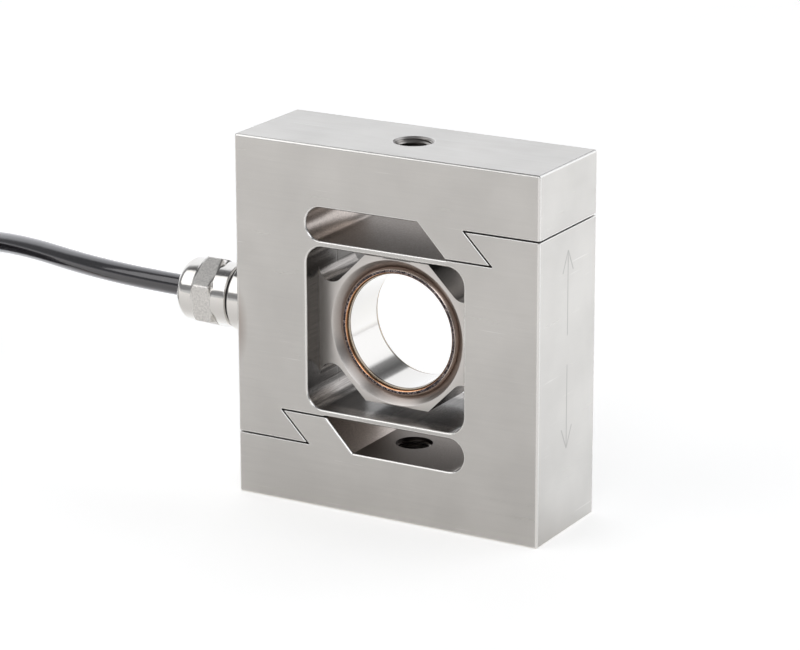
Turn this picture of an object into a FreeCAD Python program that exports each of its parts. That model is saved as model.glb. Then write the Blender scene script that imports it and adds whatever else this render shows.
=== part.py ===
import FreeCAD, Part
import math
import os

V = FreeCAD.Vector
os.makedirs("parts", exist_ok=True)

# S-shaped load cell: a stainless block slit into a top half and a bottom half, which are joined
# only by thin flexing beams and by a web with a round sensing bore. Millimetres, X across the
# front, Y towards the back, Z up. The origin is the centre of the block's bottom face.

# Block
block_width = 73.0
block_thickness = 25.4
block_height = 80.0
edge_break = 0.35
mouth_break = 0.25

# Window in both faces, and the web that stands back in it
window_width = 38.0
window_height = 36.0
window_corner_r = 4.0
web_thickness = 14.8
relief_gap = 1.9
relief_r = 3.05
relief_level = 12.1

# Pockets over and under the window, with the hooked overload slits that leave them
beam_thickness = 1.25
pocket_height = 7.3
pocket_top_end = 7.9
pocket_slope_run = 6.85
kerf = 0.4
hook_root = 18.9
hook_tip = 25.4
hook_height = 6.65

# Tapped holes in the top and bottom faces, at the thread's root
thread_r = 4.0
thread_mouth = 0.45

# Sleeve welded into the sensing bore
sleeve_bore_r = 12.45
sleeve_wall = 0.5
flange_stand = 0.35
flange_length = 1.2
lip_round = 0.15
bead_height = 0.35
bead_slope = 0.3

# Sensing bore: two land rings that hold the sleeve's flanges, a shoulder and a countersink round
# each, and the sealed cavity between them
land_length = 1.4
shoulder_width = 0.6
shoulder_depth = 1.8
countersink_width = 2.0
cavity_depth = 0.8

# Gauges and their flexible board on the cavity wall
gauge_axial = 5.0
gauge_around = 6.0
gauge_thickness = 0.12
gauge_count = 4
first_gauge_angle = 45.0
flex_thickness = 0.15
flex_width = 1.6
flex_gap = 0.1
pad_angle = 26.0
chip_length = 1.6
chip_width = 0.9
chip_height = 0.4
chip_angle = 8.0

# Cable gland in the left face
port_r = 5.05
port_depth = 8.0
port_mouth = 0.4
thread_gap = 0.05
gland_flange_r = 7.8
gland_flange_length = 6.0
flange_break = 0.3
spigot_r = 5.5
spigot_length = 7.9
gland_bore_r = 2.7
ring_width = 0.9
ring_r = 6.8
ring_break = 0.25
seat_r = 4.5
seat_depth = 5.5
grommet_stand = 0.5
washer_thickness = 0.8
washer_gap = 0.15
nut_collar_r = 7.1
nut_collar_length = 3.7
nut_flats = 14.2
nut_hex_length = 4.5
hex_turn = 22.0
hex_break = 0.4
hex_break_slope = 2.0
hex_crown = 1.5
hex_crown_length = 0.8
dome_land = 1.5
dome_r = 4.0
exit_clearance = 0.25
exit_break = 0.35

# Cable, its cores and their channel
cable_d = 4.8
cable_length = 3000.0
jacket_start = 2.0
core_d = 1.3
core_spread = 0.75
channel_r = 2.0
lead_clearance = 0.1

# Long coil of the cable's put-away length, lying in line with the block: two turns wide, six high
coil_centre = (-212.5, 4.0)
coil_straight = 75.0
coil_mean_r = 17.95
turn_pitch = 4.9
layer_pitch = 4.85
coil_layers = 6
coil_turns_across = 2
coil_break = 1.0

# Free end of the cable
end_sleeve_length = 12.0
end_sleeve_wall = 0.5
tip_d = 0.8
tip_length = 7.0
shield_d = 0.7

# Routes, chosen by hand: from the gland onto the coil, off the coil, and the fanned cores
run_points = [
    (-63.0, 0.0, 40.0),
    (-86.5, 3.9, 39.6),
    (-110.0, 12.6, 38.9),
    (-131.0, 21.5, 35.6),
    (-151.5, 24.8, 31.3),
    (-171.0, 23.8, 26.6),
    (-189.5, 22.1, 20.8),
]
tail_points = [
    (-201.0, -13.3, 4.4),
    (-182.5, -15.4, 3.1),
    (-164.5, -16.8, 2.9),
    (-145.5, -15.6, 2.9),
]
core_fans = {
    "red": [(-134.3, -9.9, 0.65), (-119.2, -3.1, 0.65)],
    "black": [(-133.6, -13.0, 0.65), (-116.8, -8.2, 0.65)],
    "green": [(-133.0, -16.1, 0.65), (-116.4, -15.4, 0.65)],
    "white": [(-134.4, -19.6, 0.65), (-119.6, -22.3, 0.65)],
}
shield_points = [(-134.6, -14.7, 0.35), (-121.0, -11.8, 0.35)]

# Each core's place in the cable, as seen along it towards the free end: right, and up
core_places = {"red": (-1, 1), "black": (-1, -1), "green": (1, -1), "white": (1, 1)}

# Worked-out places
mid_z = block_height / 2
half_w = block_width / 2
half_t = block_thickness / 2
half_win = window_width / 2
half_web = web_thickness / 2
pocket_floor = window_height / 2 + beam_thickness
pocket_top = pocket_floor + pocket_height
shoulder_y = half_web - shoulder_depth
cavity_half = shoulder_y - land_length
sleeve_r = sleeve_bore_r + sleeve_wall
land_r = sleeve_r + flange_stand
shoulder_r = land_r + shoulder_width
bore_rim_r = shoulder_r + countersink_width
cavity_r = land_r + cavity_depth
gauge_start = -(gauge_axial + flex_gap + flex_width) / 2
flex_start = gauge_start + gauge_axial + flex_gap
cable_r = cable_d / 2
spigot_end = gland_flange_length + spigot_length
grommet_start = spigot_end - seat_depth
grommet_end = spigot_end + grommet_stand
washer_end = grommet_end + washer_thickness
nut_start = gland_flange_length + ring_width
hex_start = nut_start + nut_collar_length
hex_end = hex_start + nut_hex_length
dome_start = hex_end + dome_land
dome_end = dome_start + dome_r
coil_half_width = (coil_turns_across - 1) * turn_pitch / 2 + cable_r
coil_height = (coil_layers - 1) * layer_pitch + cable_d
over = 2.0
near = 0.001

# A bend takes this share of its shorter run, so that a straight piece is left between bends
bend_share = 0.45


def line(a, b):
    return Part.LineSegment(a, b).toShape()


def arc(a, through, b):
    return Part.Arc(a, through, b).toShape()


def front(x, z):
    """A point of the front outline, from the block's middle."""
    return V(x, 0, mid_z + z)


def joined(points):
    """The straight edges of a closed outline."""
    return [line(a, b) for a, b in zip(points, points[1:] + points[:1])]


def prism(edges, y0, y1):
    """A closed front outline, drawn at Y = 0, as a solid from y0 to y1."""
    face = Part.Face(Part.Wire(edges))
    face.translate(V(0, y0, 0))
    return face.extrude(V(0, y1 - y0, 0))


def mouth(edges, side):
    """The 45 degree break round an outline's mouth in the front (-1) or back (+1) face."""
    wider = Part.Wire(edges).makeOffset2D(mouth_break)
    solid = Part.Face(wider).extrude(V(0, mouth_break + over, 0))
    inner = [e for e in solid.Edges if min(v.Y for v in e.Vertexes) > mouth_break + over - near]
    solid = solid.makeChamfer(mouth_break - near, inner)
    solid.translate(V(0, -half_t - over, 0))
    if side > 0:
        solid = solid.mirror(V(0, 0, 0), V(0, 1, 0))
    return solid


def turned(shape):
    """The shape again on the other side: half a turn about the block's middle."""
    copy = shape.copy()
    copy.rotate(V(0, 0, mid_z), V(0, 1, 0), 180)
    return copy


def revolved(edges):
    """An outline of radii along X and places along Y, turned about the bore's axis."""
    return Part.Face(Part.Wire(edges)).revolve(V(0, 0, mid_z), V(0, 1, 0), 360)


def rim(r, y):
    return V(r, y, mid_z)


def band(r0, r1, y0, y1, centre_angle, sweep):
    """A piece of a ring round the bore's axis, its middle at centre_angle in degrees."""
    corners = [rim(r0, y0), rim(r1, y0), rim(r1, y1), rim(r0, y1)]
    solid = Part.Face(Part.Wire(joined(corners))).revolve(V(0, 0, mid_z), V(0, 1, 0), sweep)
    solid.rotate(V(0, 0, mid_z), V(0, 1, 0), centre_angle - sweep / 2)
    return solid


def outward(distance, r=0.0):
    """A point of a gland outline: distance out of the left face, and radius upwards."""
    return V(-half_w - distance, 0, mid_z + r)


def spun(edges):
    """A gland outline turned about the cable's axis."""
    return Part.Face(Part.Wire(edges)).revolve(V(0, 0, mid_z), V(1, 0, 0), 360)


def bar(r, start, end):
    """A round bar on the cable's axis, between two distances out of the left face."""
    return Part.makeCylinder(r, end - start, outward(start), V(-1, 0, 0))


def window_edges():
    x, z, r = half_win, window_height / 2, window_corner_r
    k = r * (1 - math.sqrt(0.5))
    edges = []
    for sx, sz in ((1, 1), (-1, 1), (-1, -1), (1, -1)):
        side, level = front(sx * x, sz * (z - r)), front(sx * (x - r), sz * z)
        middle = front(sx * (x - k), sz * (z - k))
        edges.append(arc(side, middle, level) if sx == sz else arc(level, middle, side))
    corners = list(edges)
    for a, b in zip(corners, corners[1:] + corners[:1]):
        edges.append(line(a.lastVertex().Point, b.firstVertex().Point))
    return Part.__sortEdges__(edges)


def relief_edges():
    """The gap between the window's top and the web, with a round end each side."""
    r, top, wr = relief_r, window_height / 2, window_corner_r
    centre_x = half_win - r
    slope = centre_x + relief_level - r * math.sqrt(2)
    diagonal = r * math.sqrt(0.5)
    web_top = top - relief_gap
    k = wr * (1 - math.sqrt(0.5))
    edges = [line(front(-(half_win - wr), top), front(half_win - wr, top))]
    edges.append(line(front(-(slope - web_top), web_top), front(slope - web_top, web_top)))
    low = r * math.sin(math.radians(67.5))
    side = r * math.cos(math.radians(67.5))
    for s in (-1, 1):
        corner_a, corner_b = front(s * (half_win - wr), top), front(s * half_win, top - wr)
        wall = front(s * half_win, relief_level)
        tangent = front(s * (centre_x - diagonal), relief_level - diagonal)
        edges.append(arc(corner_a, front(s * (half_win - k), top - k), corner_b))
        edges.append(line(corner_b, wall))
        edges.append(arc(wall, front(s * (centre_x + side), relief_level - low), tangent))
        edges.append(line(tangent, front(s * (slope - web_top), web_top)))
    return Part.__sortEdges__(edges)


def pocket_edges():
    r = pocket_height / 2
    left = -half_win + r
    middle = pocket_floor + r
    a, b = front(left, pocket_floor), front(pocket_top_end + pocket_slope_run, pocket_floor)
    c, d = front(pocket_top_end, pocket_top), front(left, pocket_top)
    return [line(a, b), line(b, c), line(c, d), arc(d, front(left - r, middle), a)]


def pocket_and_slit_edges():
    """The pocket with the wire-cut slit, from its corner round the hook and out of the right face."""
    half = kerf / 2
    tip = front(hook_tip, pocket_floor + half)
    root = tip + V(hook_root - hook_tip, 0, hook_height)
    way = (root - tip).normalize()
    up, aside = V(0, 0, half), V(0, 1, 0).cross(way) * half
    far = V(half_w + over - root.x, 0, 0)
    under_hook = tip + aside + way * ((root.z - half - tip.z - aside.z) / way.z)
    over_tip = tip - aside + way * ((half + aside.z) / way.z)
    floor_line, slope, top_line, left_end = pocket_edges()
    a, b = floor_line.firstVertex().Point, slope.firstVertex().Point
    c = slope.lastVertex().Point
    slope_foot = b + (c - b) * (kerf / pocket_height)
    return [
        line(a, tip - up),
        arc(tip - up, tip + (aside - up).normalize() * half, tip + aside),
        line(tip + aside, under_hook),
        line(under_hook, root + far - up),
        line(root + far - up, root + far + up),
        line(root + far + up, root + up),
        arc(root + up, root + (up - aside).normalize() * half, root - aside),
        line(root - aside, over_tip),
        line(over_tip, slope_foot),
        line(slope_foot, c),
        top_line,
        left_end,
    ]


def tapped_hole():
    """The threaded hole in the top face, down into the pocket, with its lead-in."""
    depth = mid_z - pocket_top + over
    hole = Part.makeCylinder(thread_r, depth + over, V(0, 0, block_height - depth))
    lead = Part.makeCone(thread_r, thread_r + thread_mouth + over, thread_mouth + over)
    lead.translate(V(0, 0, block_height - thread_mouth))
    return hole.fuse(lead)


def sensing_bore():
    lean = (bore_rim_r - shoulder_r) / shoulder_depth
    half = [
        rim(0, -half_web - over),
        rim(bore_rim_r + lean * over, -half_web - over),
        rim(shoulder_r, -shoulder_y),
        rim(land_r, -shoulder_y),
        rim(land_r, -cavity_half),
        rim(cavity_r, -cavity_half),
    ]
    other = [rim(p.x, -p.y) for p in reversed(half)]
    return revolved(joined(half + other))


def s_body():
    block = Part.makeBox(block_width, block_thickness, block_height, V(-half_w, -half_t, 0))
    block = block.makeChamfer(edge_break, block.Edges)
    window, pocket = window_edges(), pocket_edges()
    recess = prism(window, -half_t - over, -half_web).fuse(mouth(window, -1))
    relief = prism(relief_edges(), -half_t - over, half_t + over)
    open_pocket = prism(pocket_and_slit_edges(), -half_t - over, half_t + over)
    cuts = [recess, recess.mirror(V(0, 0, 0), V(0, 1, 0))]
    for cut in (relief, open_pocket, mouth(pocket, -1), mouth(pocket, 1), tapped_hole()):
        cuts += [cut, turned(cut)]
    cuts.append(sensing_bore())
    port = bar(port_r, -port_depth, over)
    cone_length = port_mouth + over
    cone = Part.makeCone(port_r, port_r + cone_length, cone_length, outward(-port_mouth), V(-1, 0, 0))
    channel = bar(channel_r, -(half_w - land_r), -port_depth + over)
    cuts += [port, cone, channel]
    for cut in cuts:
        block = block.cut(cut)
    return block.removeSplitter()


def sealing_sleeve():
    inner = cavity_half + land_length - flange_length
    outline = [
        rim(sleeve_bore_r, -shoulder_y + lip_round),
        rim(sleeve_bore_r + lip_round, -shoulder_y),
        rim(land_r, -shoulder_y),
        rim(land_r, -inner),
        rim(sleeve_r, -inner),
    ]
    other = [rim(p.x, -p.y) for p in reversed(outline)]
    return revolved(joined(outline + other))


def weld_bead(side):
    y = side * shoulder_y
    crown = y + side * bead_height
    inner, outer = sleeve_r + bead_slope, shoulder_r - bead_slope
    return revolved(joined([rim(sleeve_r, y), rim(shoulder_r, y), rim(outer, crown), rim(inner, crown)]))


def strain_gauge(number):
    angle = first_gauge_angle + number * 360 / gauge_count
    sweep = math.degrees(gauge_around / cavity_r)
    return band(cavity_r - gauge_thickness, cavity_r, gauge_start, gauge_start + gauge_axial, angle, sweep)


def flex_board():
    """A ring strip that links the gauges, widened to a pad over the channel's mouth."""
    inner = cavity_r - flex_thickness
    strip = band(inner, cavity_r, flex_start, flex_start + flex_width, 0, 360)
    pad = band(inner, cavity_r, gauge_start, flex_start + flex_width / 2, 180, pad_angle)
    return strip.fuse(pad).removeSplitter()


def trim_chip(side):
    """A flat resistor chip on the pad, resting on it with its two long edges."""
    face_r = math.sqrt((cavity_r - flex_thickness) ** 2 - (chip_width / 2) ** 2)
    corner = V(face_r - chip_height, -chip_length / 2, mid_z - chip_width / 2)
    chip = Part.makeBox(chip_height, chip_length, chip_width, corner)
    chip.rotate(V(0, 0, mid_z), V(0, 1, 0), 180 + side * chip_angle)
    return chip


def inner_lead(right, up):
    end = half_w - cavity_r - lead_clearance
    start = outward(jacket_start, up * core_spread) + V(0, right * core_spread, 0)
    return Part.makeCylinder(core_d / 2, jacket_start + end, start, V(1, 0, 0))


def gland_body():
    stem = bar(port_r - thread_gap, -port_depth, over)
    flange = bar(gland_flange_r, 0, gland_flange_length)
    flange = flange.makeChamfer(flange_break, [e for e in flange.Edges if e.Closed])
    spigot = bar(spigot_r, gland_flange_length - over, spigot_end)
    body = stem.multiFuse([flange, spigot])
    body = body.cut(bar(gland_bore_r, -port_depth - over, grommet_start + over))
    return body.cut(bar(seat_r, grommet_start, spigot_end + over)).removeSplitter()


def gland_o_ring():
    ring = bar(ring_r, gland_flange_length, nut_start)
    ring = ring.makeChamfer(ring_break, [e for e in ring.Edges if e.Closed])
    return ring.cut(bar(spigot_r, gland_flange_length - over, nut_start + over))


def gland_grommet():
    outer = bar(seat_r - thread_gap, grommet_start, grommet_end)
    return outer.cut(bar(cable_r, grommet_start - over, grommet_end + over))


def gland_washer():
    disc = bar(spigot_r - washer_gap, grommet_end, washer_end)
    return disc.cut(bar(gland_bore_r, grommet_end - over, washer_end + over))


def gland_nut():
    """Round collar, hexagon with broken corners, and a domed end that the cable leaves by."""
    corner_r = nut_flats / 2 / math.cos(math.radians(30))
    collar = bar(nut_collar_r, nut_start, hex_start + over)
    first = [e for e in collar.Edges if e.Closed and e.CenterOfMass.x > -half_w - nut_start - near]
    collar = collar.makeChamfer(flange_break, first)
    points = []
    for number in range(6):
        turn = math.radians(hex_turn + number * 60)
        points.append(outward(hex_start) + V(0, -corner_r * math.cos(turn), corner_r * math.sin(turn)))
    prism_length = nut_hex_length + hex_crown_length
    hexagon = Part.Face(Part.Wire(joined(points))).extrude(V(-prism_length, 0, 0))
    full = corner_r + over
    crown_end = hex_end + hex_crown_length
    envelope = [
        outward(hex_start),
        outward(hex_start, corner_r - hex_break),
        outward(hex_start + (over + hex_break) / hex_break_slope, full),
        outward(hex_end - over, full),
        outward(crown_end, corner_r - hex_crown),
        outward(crown_end),
    ]
    hexagon = hexagon.common(spun(joined(envelope)))
    slant = dome_r * math.sqrt(0.5)
    a, b = outward(dome_start, nut_collar_r), outward(dome_end, nut_collar_r - dome_r)
    bend = outward(dome_start + slant, nut_collar_r - dome_r + slant)
    base = outward(hex_start, nut_collar_r)
    middle, tip = outward(hex_start), outward(dome_end)
    dome = spun([line(middle, base), line(base, a), arc(a, bend, b), line(b, tip), line(tip, middle)])
    hole_r = cable_r + exit_clearance
    lead_length = exit_break + over
    lead_start = outward(dome_end - exit_break)
    lead = Part.makeCone(hole_r, hole_r + lead_length, lead_length, lead_start, V(-1, 0, 0))
    nut = collar.multiFuse([hexagon, dome])
    nut = nut.cut(bar(spigot_r + thread_gap, nut_start - over, washer_end))
    return nut.cut(bar(hole_r, nut_start, dome_end + over)).cut(lead).removeSplitter()


def rounded(points, name):
    """Straight runs joined by tangent arcs, each as large as its two runs allow."""
    points = [V(*p) for p in points]
    edges, last, radii = [], points[0], []
    for before, here, after in zip(points, points[1:], points[2:]):
        back, ahead = before - here, after - here
        half_turn = (math.pi - back.getAngle(ahead)) / 2
        reach = bend_share * min(back.Length, ahead.Length)
        radii.append(reach / math.tan(half_turn))
        start = here + back.normalize() * reach
        end = here + ahead.normalize() * reach
        inward = (back + ahead).normalize()
        middle = here + inward * (radii[-1] / math.cos(half_turn) - radii[-1])
        edges += [line(last, start), arc(start, middle, end)]
        last = end
    edges.append(line(last, points[-1]))
    print(name, "bend radii", " ".join(f"{r:.0f}" for r in radii))
    return Part.Wire(edges)


def tube(points, diameter, name):
    path = rounded(points, name)
    first = path.Edges[0]
    across = first.tangentAt(first.FirstParameter)
    circle = Part.makeCircle(diameter / 2, V(*points[0]), across)
    solid = path.makePipeShell([Part.Wire(circle)], True, False)
    section = math.pi * diameter * diameter / 4
    ratio = solid.Volume / section / path.Length
    print(name, f"length {path.Length:.1f}, volume over section x length {ratio:.4f}")
    return solid, path.Length


def long_ring(r):
    """A flat-sided oval outline on the ground round the coil's middle, filled, as tall as the coil."""
    x, y = coil_centre
    half = coil_straight / 2
    edges = []
    for s in (1, -1):
        a, b = V(x + s * half, y - s * r, 0), V(x + s * half, y + s * r, 0)
        edges += [arc(a, V(x + s * (half + r), y, 0), b), line(b, V(x - s * half, y + s * r, 0))]
    return Part.Face(Part.Wire(edges)).extrude(V(0, 0, coil_height))


def cable_coil():
    ring = long_ring(coil_mean_r + coil_half_width).cut(long_ring(coil_mean_r - coil_half_width))
    level = [e for e in ring.Edges if abs(e.BoundBox.ZMax - e.BoundBox.ZMin) < near]
    return ring.makeChamfer(coil_break, level)


free_end = V(*tail_points[-1])
free_way = (free_end - V(*tail_points[-2])).normalize()


def cable_end_sleeve():
    """The shrunk sleeve over the last of the jacket."""
    back = free_way * -1
    sleeve = Part.makeCylinder(cable_r + end_sleeve_wall, end_sleeve_length, free_end, back)
    return sleeve.cut(Part.makeCylinder(cable_r, end_sleeve_length + over, free_end, back))


def fanned_core(colour, jacket):
    """A core from the jacket's end, and the bare tip beyond its insulation."""
    right, up = core_places[colour]
    points = core_fans[colour]
    across = free_way.cross(V(0, 0, 1)).normalize()
    start = free_end + across * (right * core_spread) + V(0, 0, up * core_spread)
    solid = tube([tuple(start)] + points, core_d, f"core_{colour}")[0].cut(jacket)
    last = V(*points[-1])
    way = (last - V(*points[-2])).normalize()
    return solid, Part.makeCylinder(tip_d / 2, tip_length, last, way)


nodes = {
    "s_body": s_body(),
    "sealing_sleeve": sealing_sleeve(),
    "front_weld_bead": weld_bead(-1),
    "rear_weld_bead": weld_bead(1),
    "flex_board": flex_board(),
    "trim_chip_upper": trim_chip(1),
    "trim_chip_lower": trim_chip(-1),
    "gland_body": gland_body(),
    "gland_o_ring": gland_o_ring(),
    "gland_grommet": gland_grommet(),
    "gland_washer": gland_washer(),
    "gland_nut": gland_nut(),
    "cable_coil": cable_coil(),
}
for number in range(gauge_count):
    nodes[f"strain_gauge_{number + 1}"] = strain_gauge(number)

gland_point = tuple(outward(jacket_start))
run, run_length = tube([gland_point] + run_points, cable_d, "cable_run")
tail, tail_length = tube(tail_points, cable_d, "cable_tail")
nodes["cable_run"] = run.cut(nodes["cable_coil"])
nodes["cable_tail"] = tail.cut(nodes["cable_coil"])
nodes["cable_end_sleeve"] = cable_end_sleeve()
print(f"length left for the coil's turns {cable_length - run_length - tail_length:.0f}")

tips = []
for colour, (right, up) in core_places.items():
    nodes[f"inner_lead_{colour}"] = inner_lead(right, up)
    nodes[f"core_{colour}"], tip = fanned_core(colour, tail)
    tips.append(tip)
nodes["core_tips"] = Part.makeCompound(tips)
shield = tube([tail_points[-1]] + shield_points, shield_d, "shield_wire")[0]
nodes["shield_wire"] = shield.cut(tail)

for name, shape in nodes.items():
    shape.exportStep(f"parts/{name}.step")
    print(name, "valid" if shape.isValid() else "NOT VALID", len(shape.Solids), f"{shape.Volume:.2f}")
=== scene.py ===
import math

import bmesh
import bpy
from bpy.props import FloatProperty, FloatVectorProperty, IntProperty, PointerProperty
from mathutils import Matrix, Vector


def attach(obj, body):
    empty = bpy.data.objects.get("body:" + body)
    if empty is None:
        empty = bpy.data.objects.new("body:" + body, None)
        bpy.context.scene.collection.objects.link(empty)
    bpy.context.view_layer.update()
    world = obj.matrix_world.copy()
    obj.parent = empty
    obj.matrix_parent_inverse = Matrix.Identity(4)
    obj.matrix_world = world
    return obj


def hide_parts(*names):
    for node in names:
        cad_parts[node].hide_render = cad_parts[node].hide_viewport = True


bl_info = {
    "name": "S-shaped load cell",
    "version": (1, 0, 0),
    "blender": (4, 5, 0),
    "location": "3D View > Sidebar > Load cell",
    "description": "Dresses the packed solids of an S-shaped load cell with its finishes, "
                   "threads, welds and cable",
    "category": "Object",
}

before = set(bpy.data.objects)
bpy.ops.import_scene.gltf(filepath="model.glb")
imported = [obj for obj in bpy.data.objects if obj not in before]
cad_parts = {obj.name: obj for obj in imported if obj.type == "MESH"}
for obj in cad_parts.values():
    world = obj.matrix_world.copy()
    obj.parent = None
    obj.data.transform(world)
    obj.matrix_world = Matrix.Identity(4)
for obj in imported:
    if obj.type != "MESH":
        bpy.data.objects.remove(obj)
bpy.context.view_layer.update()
MM = 0.001

# Places and radii that the solids have too, in millimetres, with the block's bottom face at height 0.
# The pockets lie further than POCKET_FROM_MID above and below the block's middle height.
MID_Z = 40.0
HALF_BLOCK = (36.5, 12.7, 40.0)
HOLE_TOP, HOLE_FLOOR = 80.0, 66.55
SHOULDER_Y = 5.6
POCKET_FROM_MID = 19.15
CONE_R, BEAD_OUT_R, BEAD_IN_R = 15.9, 13.9, 12.95
HEX_FROM, HEX_TO, HEX_TURN = -47.05, -51.65, 22.0

# The cable's route, in millimetres: out of the gland and onto the coil, and off it again
RUN_POINTS = [
    (-38.5, 0.0, 40.0),
    (-63.0, 0.0, 40.0),
    (-86.5, 3.9, 39.6),
    (-110.0, 12.6, 38.9),
    (-131.0, 21.5, 35.6),
    (-152.0, 25.3, 30.6),
    (-173.0, 24.6, 27.3),
]
COIL_CENTRE = (-212.5, 4.0)
TAIL_POINTS = [(-184.5, -16.9, 2.4), (-164.5, -17.2, 2.9), (-145.5, -15.6, 2.9)]


def linear(code):
    """An sRGB hex colour as linear red, green and blue."""
    parts = [int(code[i:i + 2], 16) / 255 for i in (1, 3, 5)]
    return tuple(c / 12.92 if c <= 0.04045 else ((c + 0.055) / 1.055) ** 2.4 for c in parts)


def colour_property(name, description, code):
    return FloatVectorProperty(name=name, description=description, subtype="COLOR", size=3,
                               min=0.0, max=1.0, default=linear(code))


def length_property(name, description, millimetres):
    return FloatProperty(name=name, description=description, unit="LENGTH", subtype="DISTANCE",
                         precision=5, min=0.0, default=millimetres * MM)


class LoadCellSizes(bpy.types.PropertyGroup):
    thread_pitch: length_property("Thread pitch", "Rise of the tapped holes' thread in a turn", 1.25)
    thread_root_r: length_property("Thread root", "Radius of the thread's root", 4.0)
    thread_crest_r: length_property("Thread crest", "Radius of the thread's crest", 3.33)
    thread_lead: length_property("Thread lead-in", "Depth of the mouth's countersink", 0.9)
    edge_round: length_property("Edge rounding", "Radius of the rounding on the block's edges", 0.36)
    lip_width: length_property("Welded lip width", "Width of the sleeve's raised lip", 1.6)
    lip_height: length_property("Welded lip height", "Height of the lip over the shoulder", 1.1)
    seam_width: length_property("Weld seam width", "Width of the dark stitched seam on the lip", 0.6)
    seam_ripples: IntProperty(name="Weld ripples", description="Ripples round each weld seam",
                              min=12, max=400, default=190)
    nut_radius: length_property("Nut radius", "Radius of the gland nut's collar and end", 7.1)
    nut_length: length_property("Nut length", "Length of the gland nut", 13.1)
    nut_end_round: length_property("Nut end rounding", "Radius of the nut's rounded end", 2.0)
    nut_flats: length_property("Nut flats", "Distance across the hexagon's flats", 14.2)
    cable_diameter: length_property("Cable diameter", "Diameter of the jacket", 4.8)
    cable_length: length_property("Cable length", "Length from the gland to the jacket's end", 3000)
    coil_straight: length_property("Coil straight", "Straight side of the long coil", 75.0)
    coil_outer_r: length_property("Coil outer radius", "Centre line of an outer turn at the ends", 20.4)
    coil_inner_r: length_property("Coil inner radius", "Centre line of an inner turn at the ends", 15.5)
    coil_layer: length_property("Coil layer", "Rise from one layer of turns to the next", 4.85)
    coil_layers: IntProperty(name="Coil layers", description="Layers, each two turns wide",
                             min=1, max=20, default=6)


class LoadCellColours(bpy.types.PropertyGroup):
    ground: colour_property("Ground steel", "Outer faces of the block", "#D6D3CF")
    # The broken-edge colour lightens the scratches, and on the edges it is a painted highlight
    edge: colour_property("Broken edge", "Fresh metal of the broken edges", "#EFEDEA")
    eroded: colour_property("Eroded steel", "Spark-eroded floors of the pockets", "#8F8781")
    wired: colour_property("Wire-cut steel", "Brighter cut ends and slopes of the pockets", "#C2B8B1")
    milled: colour_property("Milled steel", "Walls of the window", "#A39E9A")
    web: colour_property("Web", "Milled face of the web", "#CFCBC7")
    heat: colour_property("Heat tint", "Oxide colour beside the weld", "#7A5843")
    weld: colour_property("Weld metal", "Dark oxidised weld seam", "#3B3439")
    straw: colour_property("Straw tint", "Brown oxide on the sleeve's lip", "#6B5646")
    polished: colour_property("Polished steel", "Gland and sleeve", "#E2DFDB")
    jacket: colour_property("Cable jacket", "Glossy black jacket", "#120F12")


class LoadCellStage(bpy.types.PropertyGroup):
    target: FloatVectorProperty(name="Camera target", description="Point that the camera looks at",
                                subtype="XYZ", unit="LENGTH", size=3,
                                default=(-0.003185, -0.000495, 0.039518))
    azimuth: FloatProperty(name="Azimuth", description="Camera's turn to the right of the front",
                           subtype="ANGLE", default=0.5257)
    elevation: FloatProperty(name="Elevation", description="Camera's height as an angle",
                             subtype="ANGLE", default=0.2984)
    roll: FloatProperty(name="Roll", description="Camera's turn about its own axis",
                        subtype="ANGLE", default=-0.0032)
    distance: length_property("Camera distance", "From the target to the camera", 726.8)
    lens: FloatProperty(name="Focal length", description="Lens, on a 36 mm wide sensor",
                        min=1, default=153.96)
    floor_size: length_property("Floor size", "Side of the square floor", 8000)
    lamp_level: FloatProperty(name="Lamp level", description="Brightness of the soft box, 1 is white",
                              min=0, default=1.25)
    back_level: FloatProperty(name="Backdrop level", description="Backdrop as polished metal shows it",
                              min=0, default=1.15)


def sizes():
    return bpy.context.scene.load_cell_sizes


def colours():
    return bpy.context.scene.load_cell_colours


def stage_values():
    return bpy.context.scene.load_cell_stage


# Materials


def rgba(colour):
    """A linear colour or an sRGB hex code, as linear red, green and blue with full alpha."""
    red, green, blue = linear(colour) if isinstance(colour, str) else colour
    return red, green, blue, 1.0


def scaled(colour, factor):
    return tuple(min(1.0, part * factor) for part in colour)


def node_adder(tree):
    """The function that adds a shader node to a tree: its kind with its operation or data type, its
    inputs and its settings. Values go to the live inputs in their order, and those of a dictionary at
    the end go by name. A node as a value stands for its first live output."""
    def add(kind, *values, **settings):
        kind, _, mode = kind.partition(" ")
        made = tree.nodes.new("ShaderNode" + kind)
        if mode:
            setattr(made, "data_type" if kind == "Mix" else "operation", mode)
        for name, value in settings.items():
            setattr(made, name, value)
        ordered = [value for value in values if not isinstance(value, dict)]
        given = list(zip([socket for socket in made.inputs if socket.enabled], ordered))
        for named in values[len(ordered):]:
            given += [(made.inputs[name], value) for name, value in named.items()]
        for socket, value in given:
            if isinstance(value, bpy.types.Node):
                value = next(output for output in value.outputs if output.enabled)
            if isinstance(value, bpy.types.NodeSocket):
                tree.links.new(value, socket)
            else:
                socket.default_value = rgba(value) if socket.type == "RGBA" else value
        return made
    return add


def new_material(name):
    """A material with no nodes yet, and the function that adds them."""
    material = bpy.data.materials.new(name)
    material.use_nodes = True
    material.node_tree.nodes.clear()
    return material, node_adder(material.node_tree)


def block_place(add, coords):
    """The place in millimetres from the block's centre."""
    return add("Mapping", coords.outputs["Object"], {"Location": (0.0, 0.0, -MID_Z),
                                                     "Scale": (1 / MM, 1 / MM, 1 / MM)})


def set_stops(ramp, stops):
    """Gives a colour ramp its stops: pairs of a place and a colour."""
    elements = ramp.color_ramp.elements
    while len(elements) < len(stops):
        elements.new(1.0)
    for element, (place, colour) in zip(elements, stops):
        element.position = place
        element.color = rgba(colour)


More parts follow.
